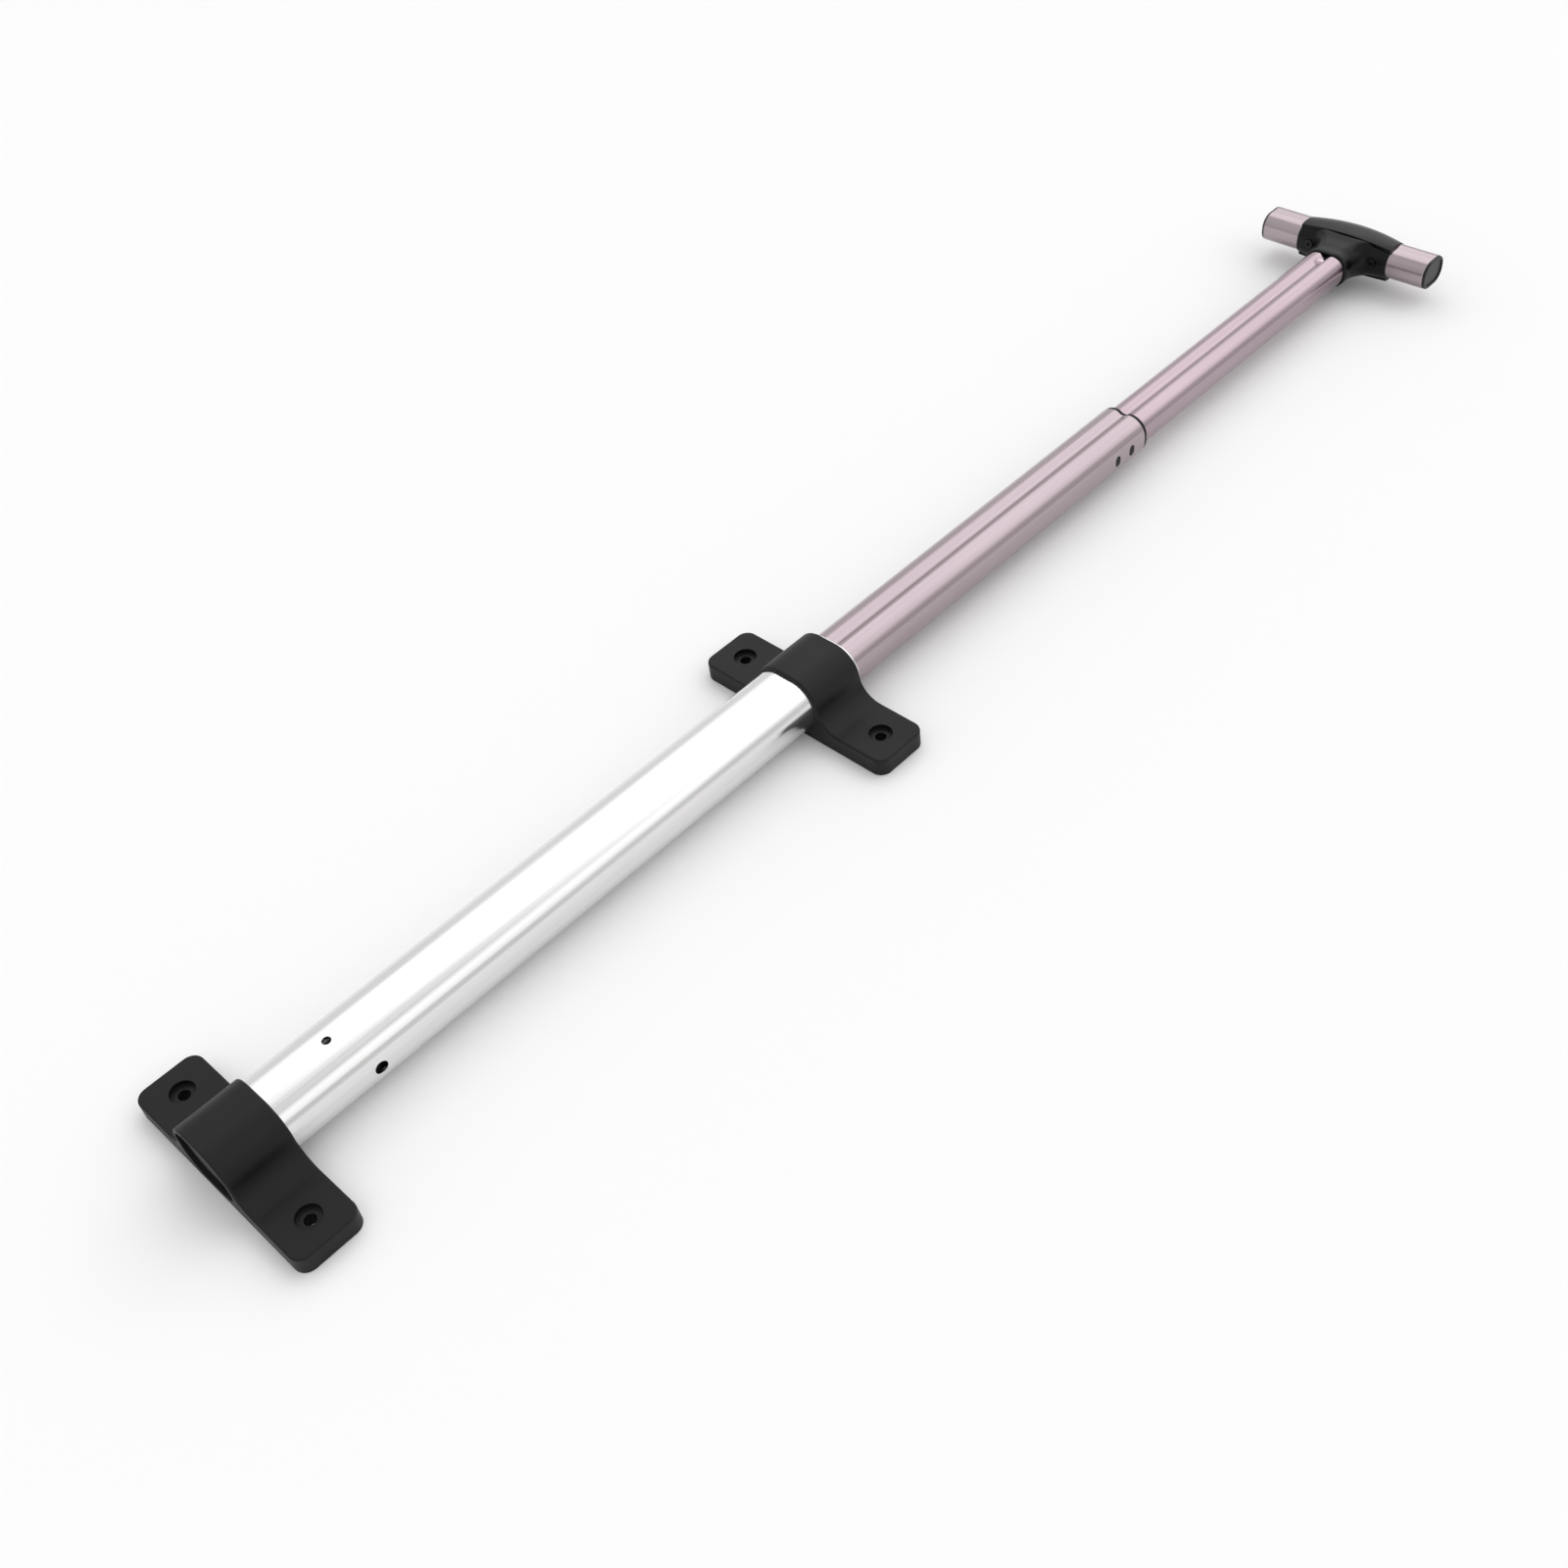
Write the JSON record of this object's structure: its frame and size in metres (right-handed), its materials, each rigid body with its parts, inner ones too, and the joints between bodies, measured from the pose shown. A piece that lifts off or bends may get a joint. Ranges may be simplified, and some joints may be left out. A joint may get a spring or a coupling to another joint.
{
  "type": "telescopic pull handle",
  "caption": "Telescoping aluminium rod with a T-handle and palm button, held by two black saddle brackets with counterbored screw holes",
  "frame": {"origin": "on the mounting plane, under the centre of the foot bracket, midway between its two screws", "axes": "+X along the rod from the foot bracket to the T-handle, +Y across the brackets, +Z off the mounting plane"},
  "size_m": [0.877, 0.1216, 0.0343],
  "materials": {
    "bracket": "moulded black plastic, fine matt texture",
    "silver_tube": "drawn aluminium, satin silver anodised",
    "rose_tube": "drawn aluminium, satin rose anodised",
    "rose_rivet": "anodised aluminium rivet",
    "black_plastic": "moulded black plastic",
    "handle_plastic": "moulded black plastic, satin gloss",
    "cap_plastic": "moulded dark grey plastic",
    "button_plastic": "moulded black plastic, fine texture",
    "steel": "bright steel",
    "spring_steel": "spring steel wire"
  },
  "bodies": {
    "frame": {"foot_bracket": "bracket", "upper_bracket": "bracket", "outer_tube": "silver_tube", "foot_plug": "black_plastic", "outer_guide_bush": "black_plastic"},
    "middle_stage": {"middle_tube": "rose_tube", "middle_guide_bush": "black_plastic", "middle_lock_block": "black_plastic", "middle_block_rivets": "steel", "middle_lock_spring": "spring_steel"},
    "upper_stage": {"upper_tube": "rose_tube", "upper_lock_block": "black_plastic", "upper_block_rivets": "steel", "upper_lock_spring": "spring_steel", "rod_guide_insert": "black_plastic", "neck_rivets": "rose_rivet", "handle_front_shell": "handle_plastic", "handle_rear_shell": "handle_plastic", "handle_screws": "steel", "grip_tube": "rose_tube", "grip_end_cap_near": "cap_plastic", "grip_end_cap_far": "cap_plastic", "button_spring": "spring_steel"},
    "button_and_rod": {"push_button": "button_plastic", "button_retainer": "spring_steel", "push_rod": "steel"},
    "upper_pin": {"upper_lock_pin": "steel", "upper_cross_pin": "steel"},
    "trigger": {"middle_trigger": "steel"},
    "middle_pin": {"middle_lock_pin": "steel", "middle_cross_pin": "steel"}
  },
  "joints": [
    {"name": "middle_slide", "type": "slide", "parent": "frame", "child": "middle_stage", "axis": [1, 0, 0], "range_m": [-0.213, 0]},
    {"name": "upper_slide", "type": "slide", "parent": "middle_stage", "child": "upper_stage", "axis": [1, 0, 0], "range_m": [-0.197, 0]},
    {"name": "button_press", "type": "slide", "parent": "upper_stage", "child": "button_and_rod", "axis": [1, 0, 0], "range_m": [0, 0.004], "stiffness_N_per_m": 400, "springref_m": 0.006},
    {"name": "upper_lock", "type": "slide", "parent": "upper_stage", "child": "upper_pin", "axis": [0, 1, 0], "range_m": [0, 0.0024]},
    {"name": "trigger_press", "type": "slide", "parent": "middle_stage", "child": "trigger", "axis": [1, 0, 0], "range_m": [0, 0.004], "stiffness_N_per_m": 400, "springref_m": 0.006},
    {"name": "middle_lock", "type": "slide", "parent": "middle_stage", "child": "middle_pin", "axis": [0, 1, 0], "range_m": [0, 0.0024]}
  ],
  "couplings": [
    {"joint": "upper_lock", "follows": "button_press", "ratio": 0.6},
    {"joint": "middle_lock", "follows": "trigger_press", "ratio": 0.6}
  ]
}
